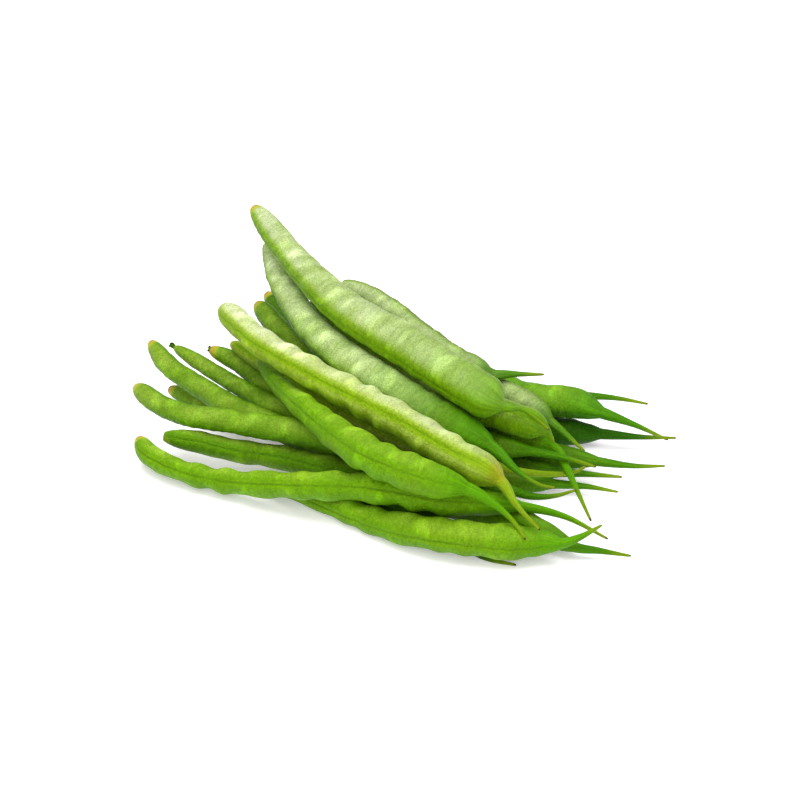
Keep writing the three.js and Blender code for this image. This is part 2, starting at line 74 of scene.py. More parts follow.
# the form that all pods share, as in the part's source
SCAR_SHARE = 0.4
FULL_AT = 0.72
END_CURVE = 2.5
BEAK_RADIUS = 1.45
BEAK_TIP_RADIUS = 0.38
BEAK_NECK = 0.55
TIP_ROUNDING = 1.0
TIP_END_SHARE = 0.45
SEAM_SWELL_SHARE = 0.35
FIRST_SEED = 0.1
SEED_RUN = 0.84
SWELL_START = 0.08        # the swellings come up and fade over these shares of the body
SWELL_COMES = 0.12
SWELL_STOP = 0.96
SWELL_FADES = 0.1
SEED_STRAY = 0.16
STRAY_PACE = 2.2
SEED_VARIETY = 0.45
VARIETY_PACE = 1.3
VARIETY_LUCK = 3
LUCK_STEP = 0.618
FULL_TURN = 2 * math.pi

STATION_STEP = 2.0
CURVE_STEPS = 40
LINE_STEPS = 8
GAP = 0.4                 # air that two neighbours leave between them
GAP_MARGIN = 0.02
GIVE_REACH = 14.0
GIVE_ACROSS = 0.35
GIVE_RATE = 0.8
GIVE_ROUNDS = 120
FAR_APART = 15.0
REST_CUT = 0.5

SIDES = 10
BODY_RING_STEP = 4.8
RINGS_A_SEED = 3.0
CAP_RINGS = np.array([0, 0.06, 0.2, 0.45])
BEAK_RINGS = 5

# One entry for each pod, with the routes and sizes of the part's source. Breadth is across the seams and
# thick across the flat sides. Turn and twist are degrees round the pod. Stem and neck are shares of the
# breadth at the two ends of the body, cap is the length of the blunt end, fall the share of the body where
# it starts to narrow, and slim a factor for the root of the beak.
PODS = [
    dict(name="top", breadth=13.6, thick=10.4, turn=-30, twist=0, slot="skin_top",
         look="sunlit", stem=0.58, cap=13, fall=0.94, neck=0.22, seeds=13, swell=0.05,
         slim=0.45,
         route=[seen(254, 208, 57.5), seen(298, 263, 51), seen(346, 309, 45), seen(412, 350, 39),
                seen(460, 384, 34.5), seen(503, 408, 31)],
         tail=[seen(520, 409.5, 28.5), seen(536, 419, 25.5), seen(549, 430, 22.5)]),
    dict(name="upper", breadth=12.4, thick=9.6, turn=-30, twist=0, slot="skin_top",
         look="sage", stem=0.64, cap=18, fall=0.86, neck=0.34, seeds=12, swell=0.06,
         slim=1,
         route=[seen(267, 245, 45), seen(286, 291, 40), seen(325, 342, 34.5), seen(397, 393, 28.5),
                seen(449, 422, 25), seen(491, 446, 22)],
         tail=[seen(520, 473, 18), seen(540, 485, 15.5), seen(556, 488, 14)]),
    dict(name="pale", breadth=10.8, thick=10.6, turn=36, twist=35, slot="skin_pale",
         look="pale", stem=0.8, cap=7, fall=0.93, neck=0.36, seeds=9, swell=0.1,
         slim=1,
         route=[seen(223, 308, 36), seen(262, 343, 34), seen(320, 377, 31), seen(400, 420, 28),
                seen(455, 455, 25), seen(500, 481, 20.5)],
         tail=[seen(517, 506, 17), seen(540, 530, 13)]),
    dict(name="seamed", breadth=11, thick=11.2, turn=32, twist=0, slot="skin_bright",
         look="bright", stem=0.46, cap=14, fall=0.84, neck=0.38, seeds=8, swell=0.075,
         slim=1,
         route=[seen(262, 362, 21), seen(283, 389, 22.6), seen(320, 421, 24), seen(376, 460, 24),
                seen(430, 480, 23), seen(466, 489, 21)],
         tail=[seen(492, 503, 18), seen(514, 523, 14), seen(525, 540, 11)]),
    dict(name="front_long", breadth=9.4, thick=9.2, turn=32, twist=0, slot="skin_bright",
         look="bright", stem=0.74, cap=8, fall=0.84, neck=0.34, seeds=9, swell=0.12,
         slim=1,
         route=[seen(139, 439, 8), seen(150, 455, 6.4), seen(180, 470, 5.5), seen(225, 481, 5.8),
                seen(300, 486, 10.6), seen(370, 488, 14), seen(440, 497, 13.5), seen(520, 507, 11)],
         tail=[seen(565, 517, 7.5), seen(608, 539, 3)]),
    dict(name="front_low", breadth=11, thick=10.4, turn=10, twist=0, slot="skin_bright",
         look="bright", stem=0.55, cap=12, fall=0.82, neck=0.3, seeds=8, swell=0.08,
         slim=1,
         route=[seen(262, 479, 4.4), seen(300, 492, 5), seen(350, 510, 5.2), seen(400, 526, 5.8),
                seen(440, 534, 6.8), seen(500, 541, 7.4), seen(543, 541.5, 7), seen(562, 543, 7.6)],
         tail=[seen(582, 536, 9), seen(602, 525, 11)]),
    dict(name="front_under", breadth=9.8, thick=9.2, turn=36, twist=0, slot="skin_left",
         look="middle", stem=0.76, cap=11, fall=0.82, neck=0.34, seeds=9, swell=0.07,
         slim=1,
         route=[seen(164, 436, 10.5), seen(200, 442, 9), seen(240, 451, 7.5), seen(300, 457, 5.6),
                seen(360, 470, 4.6), seen(440, 500, 4.4), seen(505, 520, 4.6), seen(552, 538, 4.6),
                seen(574, 547.5, 4)],
         tail=[seen(600, 551, 3.4), seen(631, 556, 2.6)]),
    dict(name="left_steep", breadth=9.3, thick=8, turn=-40, twist=0, slot="skin_left",
         look="middle", stem=0.74, cap=12, fall=0.84, neck=0.36, seeds=8, swell=0.04,
         slim=1,
         route=[seen(151, 343, 17), seen(169, 366, 15), seen(205, 390.5, 13), seen(240, 411, 12),
                seen(262, 420, 11.5), laid(330, 52, 7), laid(400, 43.5, 4.6), laid(475, 28, 3.8)],
         tail=[laid(530, 18, 2.6)]),
    dict(name="left_slim", breadth=8.8, thick=7.8, turn=-40, twist=0, slot="skin_left",
         look="middle", stem=0.62, cap=12, fall=0.84, neck=0.36, seeds=8, swell=0.04,
         slim=1,
         route=[seen(176, 348, 15), seen(201, 364, 13.5), seen(224, 378, 12.8), seen(262, 401, 12.5),
                seen(295, 417, 11.5), laid(350, 65, 6.4), laid(420, 58, 4.2), laid(490, 50, 4.2),
                seen(560, 470, 4.2)],
         tail=[seen(592, 474, 3.6), seen(622, 477, 3)]),
    dict(name="left_low", breadth=8.6, thick=7.4, turn=-50, twist=0, slot="skin_deep",
         look="middle", stem=0.7, cap=9, fall=0.84, neck=0.36, seeds=7, swell=0.05,
         slim=1,
         route=[seen(170, 389, 5), laid(215, 80, 4.2), laid(262, 72, 3.8), laid(320, 62, 3.8),
                laid(400, 52.5, 3.8), laid(480, 40, 3.8), seen(555, 484, 4)],
         tail=[seen(590, 487, 3.4), seen(618, 492, 3)]),
    dict(name="left_level", breadth=9.4, thick=8.2, turn=-40, twist=0, slot="skin_left",
         look="middle", stem=0.74, cap=8, fall=0.84, neck=0.36, seeds=7, swell=0.05,
         slim=1,
         route=[seen(136, 387, 16), seen(160, 405, 15.5), seen(185, 415, 15.5), seen(220, 420, 16),
                seen(262, 426, 16), seen(300, 431, 16), seen(340, 440, 15.5), laid(390, 33, 14.5),
                laid(450, 22, 13.5), seen(505, 491, 11.5)],
         tail=[seen(532, 497, 10), seen(555, 496, 9.5), seen(576, 490, 9)]),
    dict(name="mid_shaded", breadth=9.6, thick=8.4, turn=50, twist=0, slot="skin_deep",
         look="pale", stem=0.7, cap=10, fall=0.84, neck=0.36, seeds=7, swell=0.07,
         slim=1,
         route=[seen(232, 345, 20), seen(300, 389, 18.5), seen(370, 427, 16), seen(430, 452, 14.5),
                seen(505, 470, 12)],
         tail=[seen(555, 474, 8.5), seen(575, 472, 7), seen(586, 466, 6.5)]),
    dict(name="mid_slim", breadth=9.2, thick=8, turn=-50, twist=0, slot="skin_left",
         look="middle", stem=0.7, cap=10, fall=0.8, neck=0.36, seeds=8, swell=0.05,
         slim=1,
         route=[seen(211, 349, 17), seen(240, 362, 15.5), seen(268, 384, 14), seen(300, 402, 13),
                laid(340, 67, 13.5), laid(420, 54, 14), seen(495, 446, 14.5), seen(530, 451, 14)],
         tail=[seen(563, 457.5, 12.7), seen(596, 467, 11)]),
    dict(name="mid_scarred", breadth=8.8, thick=7.8, turn=-50, twist=0, slot="skin_left",
         look="middle", stem=0.82, cap=8, fall=0.84, neck=0.36, seeds=8, swell=0.05,
         slim=1,
         route=[seen(257, 304, 28), seen(287, 337, 24), seen(322, 368, 20), laid(420, 66, 13),
                seen(505, 441, 10), seen(597, 461, 5.5)],
         tail=[seen(635, 466, 5), seen(665, 466, 4.5)]),
    dict(name="back_low", breadth=10, thick=8.4, turn=-50, twist=0, slot="skin_deep",
         look="deep", stem=0.66, cap=10, fall=0.86, neck=0.36, seeds=7, swell=0.06,
         slim=1,
         route=[seen(267, 294, 20), seen(290, 325, 16), laid(340, 99, 8), laid(430, 84, 4.6),
                laid(520, 68, 4.4), seen(601, 434, 4.8)],
         tail=[seen(640, 437, 4.4), seen(676, 438, 4)]),
    dict(name="back_broad", breadth=11, thick=9, turn=-30, twist=0, slot="skin_bright",
         look="shaded", stem=0.6, cap=8, fall=0.86, neck=0.36, seeds=7, swell=0.07,
         slim=1,
         route=[laid(318, 116, 14), laid(370, 105, 14.5), laid(450, 88, 14.5), seen(530, 400, 14.5),
                seen(572, 403, 14.5), seen(602, 413, 14)],
         tail=[seen(635, 425, 11.5), seen(668, 440, 8)]),
    dict(name="back_far", breadth=9.6, thick=8, turn=-30, twist=0, slot="skin_deep",
         look="middle", stem=0.7, cap=8, fall=0.84, neck=0.36, seeds=7, swell=0.06,
         slim=1,
         route=[laid(330, 115, 4.2), laid(400, 104, 4.2), laid(480, 92, 4.2), seen(530, 398, 4.2),
                seen(572, 396, 4.2)],
         tail=[seen(600, 396.5, 4), seen(622, 399, 3.6), seen(648, 404, 3)]),
    dict(name="under_top", breadth=11, thick=9.6, turn=70, twist=0, slot="skin_top",
         look="sunlit", stem=0.55, cap=12, fall=0.92, neck=0.4, seeds=10, swell=0.05,
         slim=1,
         route=[seen(312, 302, 37), seen(345, 334, 33), seen(400, 372, 28.5), seen(460, 401, 25),
                seen(515, 420, 21), seen(545, 432, 18.5)],
         tail=[seen(551, 438, 17), seen(554, 443, 16)]),
    dict(name="mid_downward", breadth=10, thick=8.6, turn=75, twist=0, slot="skin_bright",
         look="bright", stem=0.7, cap=8, fall=0.88, neck=0.4, seeds=6, swell=0.05,
         slim=1,
         route=[seen(430, 402, 14), seen(492, 428, 12.2), seen(553, 449, 10.6)],
         tail=[seen(566, 468, 9.6), seen(578, 493, 7.8), seen(591, 521, 4.5)]),
    dict(name="back_high", breadth=8.4, thick=8, turn=-50, twist=0, slot="skin_top",
         look="dusty", stem=0.7, cap=10, fall=0.84, neck=0.36, seeds=8, swell=0.06,
         slim=1,
         route=[seen(400, 342, 27), seen(450, 371, 24), seen(495, 400, 20), seen(520, 415.5, 17.2),
                seen(545, 430, 14.6)],
         tail=[seen(564, 440, 12.5), seen(584, 453, 10)]),
    dict(name="back_short", breadth=10.4, thick=8.6, turn=-50, twist=0, slot="skin_top",
         look="dusty", stem=0.72, cap=9, fall=0.88, neck=0.36, seeds=13, swell=0.045,
         slim=1,
         route=[seen(342, 284, 41), seen(380, 303.5, 37), seen(422, 339, 33), seen(460, 366, 30.5),
                seen(491, 375.5, 28.6)],
         tail=[seen(510, 374.5, 27.9), seen(527, 374.5, 27.2), seen(544, 374.5, 26.5)]),
    dict(name="under_front", breadth=7.6, thick=7, turn=20, twist=0, slot="skin_deep",
         look="deep", stem=0.75, cap=6, fall=0.84, neck=0.36, seeds=4, swell=0.05,
         slim=1,
         route=[laid(322, 37, 3.6), laid(355, 32, 3.6), laid(400, 23.5, 3.6), laid(436, 14.5, 3.6),
                laid(452, 10.5, 2.8)],
         tail=[laid(484, 2.5, 1.3), seen(516, 565, 1.2)]),
]


def ease(x):
    """Goes from 0 to 1 with a soft start and a soft end."""
    x = np.clip(x, 0, 1)
    return x * x * (3 - 2 * x)


def cubic_shares(w):
    """Shares of the start, its slope, the end and its slope at w on a cubic from 0 to 1."""
    return 2 * w ** 3 - 3 * w * w + 1, w ** 3 - 2 * w * w + w, 3 * w * w - 2 * w ** 3, w ** 3 - w * w


def curve_through(points, steps):
    """Centripetal Catmull-Rom curve through the points, in short straight steps."""
    p = [2 * points[0] - points[1], *points, 2 * points[-1] - points[-2]]
    start, leave, end, arrive = cubic_shares((np.arange(steps) / steps)[:, None])
    curve = []
    for i in range(1, len(p) - 2):
        d = [math.sqrt(np.linalg.norm(p[i + k] - p[i + k - 1])) for k in range(3)]
        slopes = [((p[i + k] - p[i + k - 1]) / d[k] - (p[i + k + 1] - p[i + k - 1]) / (d[k] + d[k + 1])
                   + (p[i + k + 1] - p[i + k]) / d[k + 1]) * d[1] for k in range(2)]
        curve.append(p[i] * start + slopes[0] * leave + p[i + 1] * end + slopes[1] * arrive)
    curve.append(points[-1][None])
    return np.concatenate(curve)


def lengths_along(points):
    """How far along the line of points each one lies."""
    return np.r_[0, np.cumsum(np.linalg.norm(np.diff(points, axis=0), axis=1))]


def point_at(points, lengths, wanted):
    """Points at the wanted lengths along the line."""
    return np.stack([np.interp(wanted, lengths, points[:, k]) for k in range(3)], axis=-1)


def seed_wave(pod, t):
    """Rises over each seed and falls between two, uneven in step and height, at share t of the body."""
    inside = ease((t - SWELL_START) / SWELL_COMES) * ease((SWELL_STOP - t) / SWELL_FADES)
    seed = pod["seeds"] * (t - FIRST_SEED) / SEED_RUN
    luck = FULL_TURN * pod["luck"]
    stray = SEED_STRAY * np.sin(STRAY_PACE * seed + luck)
    variety = 1 - SEED_VARIETY * (1 + np.sin(VARIETY_PACE * seed + VARIETY_LUCK * luck)) / 2
    return inside * variety * np.cos(FULL_TURN * (seed + stray))


def radii_at(pod, s):
    """Radii across the seams and across the flat sides at lengths s from the scar."""
    half, half_thick = pod["breadth"] / 2, pod["thick"] / 2
    tip = np.clip((pod["length"] - s) / TIP_ROUNDING, 0, 1)
    tip_round = TIP_END_SHARE + (1 - TIP_END_SHARE) * np.sqrt(1 - (1 - tip) ** 2)
    k = (s - pod["body"]) / (pod["length"] - pod["body"])
    neck = 1 - ease(k / BEAK_NECK)
    root = BEAK_RADIUS * pod["slim"]
    beak = root + (BEAK_TIP_RADIUS - root) * k
    t = s / pod["body"]
    shoulder = 1 - np.minimum(s / pod["cap"], 1)
    cap = np.sqrt(1 - (1 - SCAR_SHARE ** 2) * shoulder * shoulder)
    taper = pod["stem"] + (1 - pod["stem"]) * ease(t / FULL_AT)
    fall = 1 + (pod["neck"] - 1) * np.clip((t - pod["fall"]) / (1 - pod["fall"]), 0, 1) ** END_CURVE
    form = cap * taper * fall
    wave = seed_wave(pod, t)
    on_beak = s > pod["body"]
    wide = np.where(on_beak, (beak + (half * pod["neck"] - root) * neck) * tip_round,
                    half * form * (1 + pod["swell"] * SEAM_SWELL_SHARE * wave))
    thick = np.where(on_beak, (beak + (half_thick * pod["neck"] - root) * neck) * tip_round,
                     half_thick * form * (1 + pod["swell"] * wave))
    return wide, thick


def turn_at(pod, s):
    """How far the seam plane is turned about the pod's length, s mm from the scar."""
    return np.radians(pod["turn"] + pod["twist"] * (np.minimum(s / pod["body"], 1) - 0.5))


def ways_across(along, turn):
    """Unit ways toward the seam and toward the flat side, for unit ways along the pod."""
    front = np.cross(along, STRAIGHT_UP)
    front /= np.linalg.norm(front, axis=1)[:, None]
    over = np.cross(front, along)
    cos, sin = np.cos(turn)[:, None], np.sin(turn)[:, None]
    return front * cos + over * sin, over * cos - front * sin


def set_ways(pod):
    """Sets the ways across the pod at its stations, from where each one's neighbours lie."""
    c = pod["stations"]
    here = np.arange(len(c))
    along = c[np.minimum(here + 1, len(c) - 1)] - c[np.maximum(here - 1, 0)]
    along /= np.linalg.norm(along, axis=1)[:, None]
    pod["seam_way"], pod["side_way"] = ways_across(along, turn_at(pod, pod["at"]))


def set_stations(pod):
    """Sets stations along the pod's route, about two millimetres apart, with its radii there."""
    curve = curve_through([*pod["route"], *pod["tail"]], CURVE_STEPS)
    lengths = lengths_along(curve)
    pod["length"] = lengths[-1]
    pod["body"] = lengths[(len(pod["route"]) - 1) * CURVE_STEPS]
    body_steps = max(2, int(pod["body"] / STATION_STEP))
    beak_steps = max(2, int((pod["length"] - pod["body"]) / STATION_STEP))
    beak = pod["body"] + (pod["length"] - pod["body"]) * np.arange(1, beak_steps + 1) / beak_steps
    pod["at"] = np.r_[pod["body"] * np.arange(body_steps + 1) / body_steps, beak]
    pod["stations"] = point_at(curve, lengths, pod["at"])
    pod["radii"] = radii_at(pod, pod["at"])
    set_ways(pod)


def reach_toward(pod, ways):
    """How far each station's oval section reaches in its own row of ways."""
    a = pod["radii"][0][:, None] * np.einsum("ik,ijk->ij", pod["seam_way"], ways)
    b = pod["radii"][1][:, None] * np.einsum("ik,ijk->ij", pod["side_way"], ways)
    return np.sqrt(a * a + b * b)


def closest(a, b):
    """Where two pods come closest: clear space, both stations and the way from a to b."""
    apart = b["stations"][None] - a["stations"][:, None]
    length = np.linalg.norm(apart, axis=2)
    if length.min() >= FAR_APART:
        return None
    ways = apart / length[..., None]
    clear = length - reach_toward(a, ways) - reach_toward(b, ways.transpose(1, 0, 2)).T
    clear[length >= FAR_APART] = np.inf
    i, j = np.unravel_index(np.argmin(clear), clear.shape)
    return clear[i, j], i, j, ways[i, j]


def bend_at(pod, k):
    """How much of a push at station k each station of the pod takes."""
    return np.exp(-((pod["at"] - pod["at"][k]) / GIVE_REACH) ** 2)[:, None]


def ease_apart(pods):
    """Pods that press into each other give way until every neighbour is clear."""
    ways = np.array([RIGHT, UPWARD, TO_EYE])
    give = np.array([GIVE_ACROSS, GIVE_ACROSS, 1.0])
    for _ in range(GIVE_ROUNDS):
        tight = False
        moves = [np.zeros_like(pod["stations"]) for pod in pods]
        for a in range(len(pods)):
            for b in range(a + 1, len(pods)):
                near = closest(pods[a], pods[b])
                if near is None or near[0] >= GAP:
                    continue
                tight = True
                clear, i, j, way = near
                parts = ways @ way
                amount = (GAP + GAP_MARGIN - clear) / 2 / (give * parts * parts).sum()
                push = (give * parts * amount) @ ways
                moves[a] -= bend_at(pods[a], i) * push
                moves[b] += bend_at(pods[b], j) * push
        for pod, move in zip(pods, moves):
            pod["stations"] = pod["stations"] + move * GIVE_RATE
            down = np.broadcast_to(STRAIGHT_UP, (len(move), 1, 3))
            lows = pod["stations"][:, 2] - reach_toward(pod, down)[:, 0]
            if lows.min() < 0:
                lift = -lows.min() * STRAIGHT_UP
                pod["stations"] = pod["stations"] + bend_at(pod, lows.argmin()) * lift
            set_ways(pod)
        if not tight:
            return


for number, pod in enumerate(PODS):
    pod["luck"] = (number * LUCK_STEP) % 1
    set_stations(pod)
ease_apart(PODS)


def rings_of(pod, places, smooth=False):
    """Centres, ways and radii of the rings at the given places along a pod."""
    lengths = lengths_along(pod["stations"])
    whole = lengths[-1]
    real = places / pod["length"] * whole
    line, marks = pod["stations"], lengths
    if smooth:
        line, marks = rounded_line(pod["stations"], lengths)
    centre = point_at(line, marks, real)
    ahead = point_at(line, marks, np.minimum(real + STATION_STEP, whole))
    along = ahead - point_at(line, marks, np.maximum(real - STATION_STEP, 0))
    along /= np.linalg.norm(along, axis=1)[:, None]
    seam_way, side_way = ways_across(along, turn_at(pod, places))
    wide, thick = radii_at(pod, places)
    return centre, along, seam_way, side_way, wide, thick


def rounded_line(points, lengths):
    """The same line with its small corners rounded by a cubic through every station."""
    slope = np.gradient(points, lengths, axis=0)
    w = np.arange(LINE_STEPS) / LINE_STEPS
    start, leave, end, arrive = cubic_shares(w[None, :, None])
    gap = np.diff(lengths)[:, None]
    line = (points[:-1, None] * start + slope[:-1, None] * gap[..., None] * leave
            + points[1:, None] * end + slope[1:, None] * gap[..., None] * arrive)
    marks = (lengths[:-1, None] + gap * w[None]).ravel()
    return np.r_[line.reshape(-1, 3), points[-1:]], np.r_[marks, lengths[-1]]


def cad_places(pod):
    """The ring places of the part's own solid, from which the middle of the bunch is known."""
    step = min(BODY_RING_STEP, pod["body"] * SEED_RUN / pod["seeds"] / RINGS_A_SEED)
    body_rings = int(math.floor((pod["body"] - pod["cap"]) / step + 0.5))
    body = pod["cap"] + (pod["body"] - pod["cap"]) * np.arange(body_rings + 1) / body_rings
    beak_end = pod["length"] - TIP_ROUNDING
    beak = pod["body"] + (beak_end - pod["body"]) * np.arange(1, BEAK_RINGS + 1) / BEAK_RINGS
    return np.r_[CAP_RINGS * pod["cap"], body, beak, pod["length"] - TIP_ROUNDING / 4, pod["length"]]


def middle_of_bunch():
    """The point of the heap that is the origin of the frame: its middle in plan, on the table."""
    lows, highs = [], []
    rounds = FULL_TURN * np.arange(SIDES) / SIDES
    for pod in PODS:
        centre, _, seam_way, side_way, wide, thick = rings_of(pod, cad_places(pod))
        points = (centre[:, None] + seam_way[:, None] * (wide[:, None] * np.cos(rounds))[..., None]
                  + side_way[:, None] * (thick[:, None] * np.sin(rounds))[..., None])
        lows.append(points.reshape(-1, 3).min(axis=0))
        highs.append(points.reshape(-1, 3).max(axis=0))
    middle = (np.min(lows, axis=0) + np.max(highs, axis=0)) / 2
    middle[2] = REST_CUT
    return middle


MIDDLE = middle_of_bunch()

# fine form of the skin
AROUND = 56               # points round a pod, set closer together at the seams
SEAM_CROWDING = 0.6
FINE_STEP = 0.62
CAP_FINE = np.array([0, 0.12, 0.3, 0.55, 0.9, 1.3, 1.8, 2.4, 3.0, 3.7, 4.4])
TIP_FINE = np.array([0.9, 0.6, 0.35, 0.15, 0.0])
SEAM_SHIFTS = dict(top=25)   # degrees round the pod, where a seam lies off the widest line
SEAM_FALL_OFF = 4.0       # added to the way from the seam where the pod rounds away from it
CREASE_DEPTH = 0.2        # each seam lies in a soft crease between the two halves
CREASE_WIDTH = 1.5
LINE_DEPTH = 0.2          # with a narrow line along its bottom
LINE_WIDTH = 0.42
CLOSED_SEAM = 0.55        # the closed seam is fainter than the opening one
CREASE_EASE = 0.4         # how much the crease comes and goes along the pod
CREASE_WAVES = ((0.3, 6.1, 1), (0.2, 2.3, 2))   # shares, paces in millimetres, and turns of luck
CREASE_START = 1.0        # from the stem end, and the length over which the crease comes up
CREASE_COMES = 4.0
CREASE_STOP = 1.04        # as a share of the body, and the share over which it fades into the beak
CREASE_FADES = 0.12
BEAK_CREASE = 0.35        # what is left of the crease on the beak
SLIM_CREASE = 1.4         # below the full thickness over this, the crease shrinks with the pod
PUCKER_RISE = 0.09        # short folds that run out from the crease
PUCKER_LENGTH = 2.9
PUCKER_PLACE = 1.5
PUCKER_WIDTH = 1.1
PUCKER_STRAY = 1.3        # how unevenly they follow each other, at this pace, and how far they slant
PUCKER_STRAY_PACE = 3.7
PUCKER_SLANT = 2
DENT_DEPTH = 0.2
DENT_WAVES = ((23.0, 1), (14.0, 2), (9.0, 1), (7.0, 3), (5.5, 2), (31.0, 2))   # lengths, and turns round
DENT_EVEN = 3.0           # the sum of the waves is divided by this
DENTS_START = 3           # from the stem end, and the length over which the dents come up
DENTS_COME = 8
BEAK_DENTS = 0.25         # what is left of the dents on the beak
HOLLOW_SPAN = 0.4         # from the highest to the lowest places of the fine form
BAND_SLANT = 0.3          # how far the painted highlight bands over the seeds lean, in seeds
BLUSHED = "pale"          # one pod has an orange blush at its end
BLUSH_PLACE = (499, 472, 23)
BLUSH_REACH = 3.4
SCAR_TINT_LENGTH = 3.6
SCAR_TINTS = dict(front_low=0.0, back_high=0.0, under_top=0.0, back_short=0.1, pale=0.3, left_slim=0.3,
                  front_under=0.3, upper=0.35, mid_shaded=0.5, seamed=0.5)


def fine_places(pod):
    """Places of the rings of the fine skin, closest together at the two ends."""
    body = np.arange(CAP_FINE[-1] + FINE_STEP, pod["length"] - TIP_ROUNDING, FINE_STEP)
    return np.r_[CAP_FINE, body, pod["length"] - TIP_FINE]


def soft_noise(along, rounds, seed):
    """Slow uneven rise and fall over a pod, from a few waves with seeded phases."""
    rng = np.random.default_rng(seed)
    total = np.zeros(np.broadcast(along, rounds).shape)
    for wavelength, turns in DENT_WAVES:
        phase, twist = rng.uniform(0, FULL_TURN, 2)
        total = total + np.sin(FULL_TURN * along / wavelength + phase) * np.cos(turns * rounds + twist)
    return total / DENT_EVEN


def hump(x, place, width):
    """One at the place, and next to nothing two widths away."""
    return np.exp(-((x - place) / width) ** 2)


def seam_strength(pod, places, toward, size):
    """How marked the seam is: less on the closed side, the beak and the stem end."""
    t, at = (places / pod["body"])[:, None], places[:, None]
    luck = FULL_TURN * pod["luck"]
    waves = sum(share * np.sin(at / pace + turns * luck) for share, pace, turns in CREASE_WAVES)
    comes = ease((at - CREASE_START) / CREASE_COMES)
    fades = BEAK_CREASE + (1 - BEAK_CREASE) * ease((CREASE_STOP - t) / CREASE_FADES)
    side = np.where(toward > 0, 1.0, CLOSED_SEAM)
    return (1 - CREASE_EASE * (0.5 + waves)) * side * comes * fades * np.minimum(1, size * SLIM_CREASE)


def skin_points(pod, seed):
    """The pod's surface as a sheet of points, with what its colours are worked out from."""
    places = fine_places(pod)
    even = FULL_TURN * np.arange(AROUND + 1) / AROUND
    rounds = even - SEAM_CROWDING / 2 * np.sin(2 * even)
    centre, along, seam_way, side_way, wide, thick = rings_of(pod, places, smooth=True)
    wide, thick = wide[:, None], thick[:, None]
    cos, sin = np.cos(rounds)[None], np.sin(rounds)[None]
    shifted = rounds[None] - math.radians(SEAM_SHIFTS.get(pod["name"], 0))
    toward, off = np.cos(shifted), np.sin(shifted)
    from_seam = thick * np.abs(off) + SEAM_FALL_OFF * (1 - np.abs(toward)) ** 2
    t, at = (places / pod["body"])[:, None], places[:, None]
    size = np.minimum(wide, thick) / (pod["thick"] / 2)
    strength = seam_strength(pod, places, toward, size)
    crease = strength * hump(from_seam, 0, CREASE_WIDTH)
    line = strength * hump(from_seam, 0, LINE_WIDTH)
    stray = PUCKER_STRAY * np.sin(at / PUCKER_STRAY_PACE + FULL_TURN * pod["luck"])
    fold = np.sin(FULL_TURN * at / PUCKER_LENGTH + stray + PUCKER_SLANT * off)
    pucker = PUCKER_RISE * strength * fold * hump(from_seam, PUCKER_PLACE, PUCKER_WIDTH)
    dents = DENT_DEPTH * soft_noise(at, rounds[None], seed) * ease((at - DENTS_START) / DENTS_COME)
    dents = (dents - DENT_DEPTH / 2) * np.where(t < 1, 1, BEAK_DENTS) * np.minimum(1, size)
    rise = pucker - CREASE_DEPTH * crease - LINE_DEPTH * line + dents
    out_seam, out_side = cos / wide, sin / thick
    norm = np.sqrt(out_seam ** 2 + out_side ** 2)
    out_seam, out_side = out_seam / norm, out_side / norm
    across = wide * cos + rise * out_seam
    over = thick * sin + rise * out_side
    points = centre[:, None] + seam_way[:, None] * across[..., None] + side_way[:, None] * over[..., None]
    points[..., 2] = np.maximum(points[..., 2], REST_CUT)
    leant = np.clip(t + BAND_SLANT / pod["seeds"] * cos, 0, 1)
    past_body = (places - pod["body"]) / (pod["length"] - pod["body"])
    scar = SCAR_TINTS.get(pod["name"], 1.0) * np.clip(1 - at / SCAR_TINT_LENGTH, 0, 1)
    # upward is how far the skin faces up: the painted sheen and the painted shade of the skin follow it
    facts = dict(from_seam=from_seam, crease=crease, seam_line=line,
                 upward=seam_way[:, None, 2] * out_seam + side_way[:, None, 2] * out_side,
                 body_share=np.clip(t, 0, 1), beak_share=np.clip(past_body, 0, 1)[:, None],
                 hollow=np.clip(0.5 - rise / HOLLOW_SPAN, 0, 1), seed_band=seed_wave(pod, leant),
                 scar_near=scar)
    if pod["name"] == BLUSHED:
        away = np.linalg.norm(points - seen(*BLUSH_PLACE), axis=2)
        facts["blush"] = hump(away, 0, BLUSH_REACH)
    facts = {name: np.broadcast_to(values, points.shape[:2]) for name, values in facts.items()}
    return (points - MIDDLE) * MM, facts, along


# the stem end
CAP_CORNERS = 8           # only the two end faces of a pod have more corners
SAME_PLACE = 1e-6
SCAR_STEPS = ((0.2, 0.08), (0.2, -0.2), (0.25, 0.06))   # steps inward and outward, by the end's radius
STALKS = dict(left_slim=2.6, mid_slim=0.7)   # torn bits of stalk, their lengths
STALK_SHARE = 0.55        # of the end's radius
STALK_STEPS = ((0.05, 0.3), (-0.1, 0.35), (-0.05, 0.35), (0.3, -0.2))   # by the radius, by the length
STALK_FOOT = 0.1          # the share of its length that is not ragged
STALK_RAGGED = 0.3
STALK_SEEDS = 10          # the draws start from the length in tenths of a millimetre


def select_none():
    bpy.ops.object.select_all(action="DESELECT")


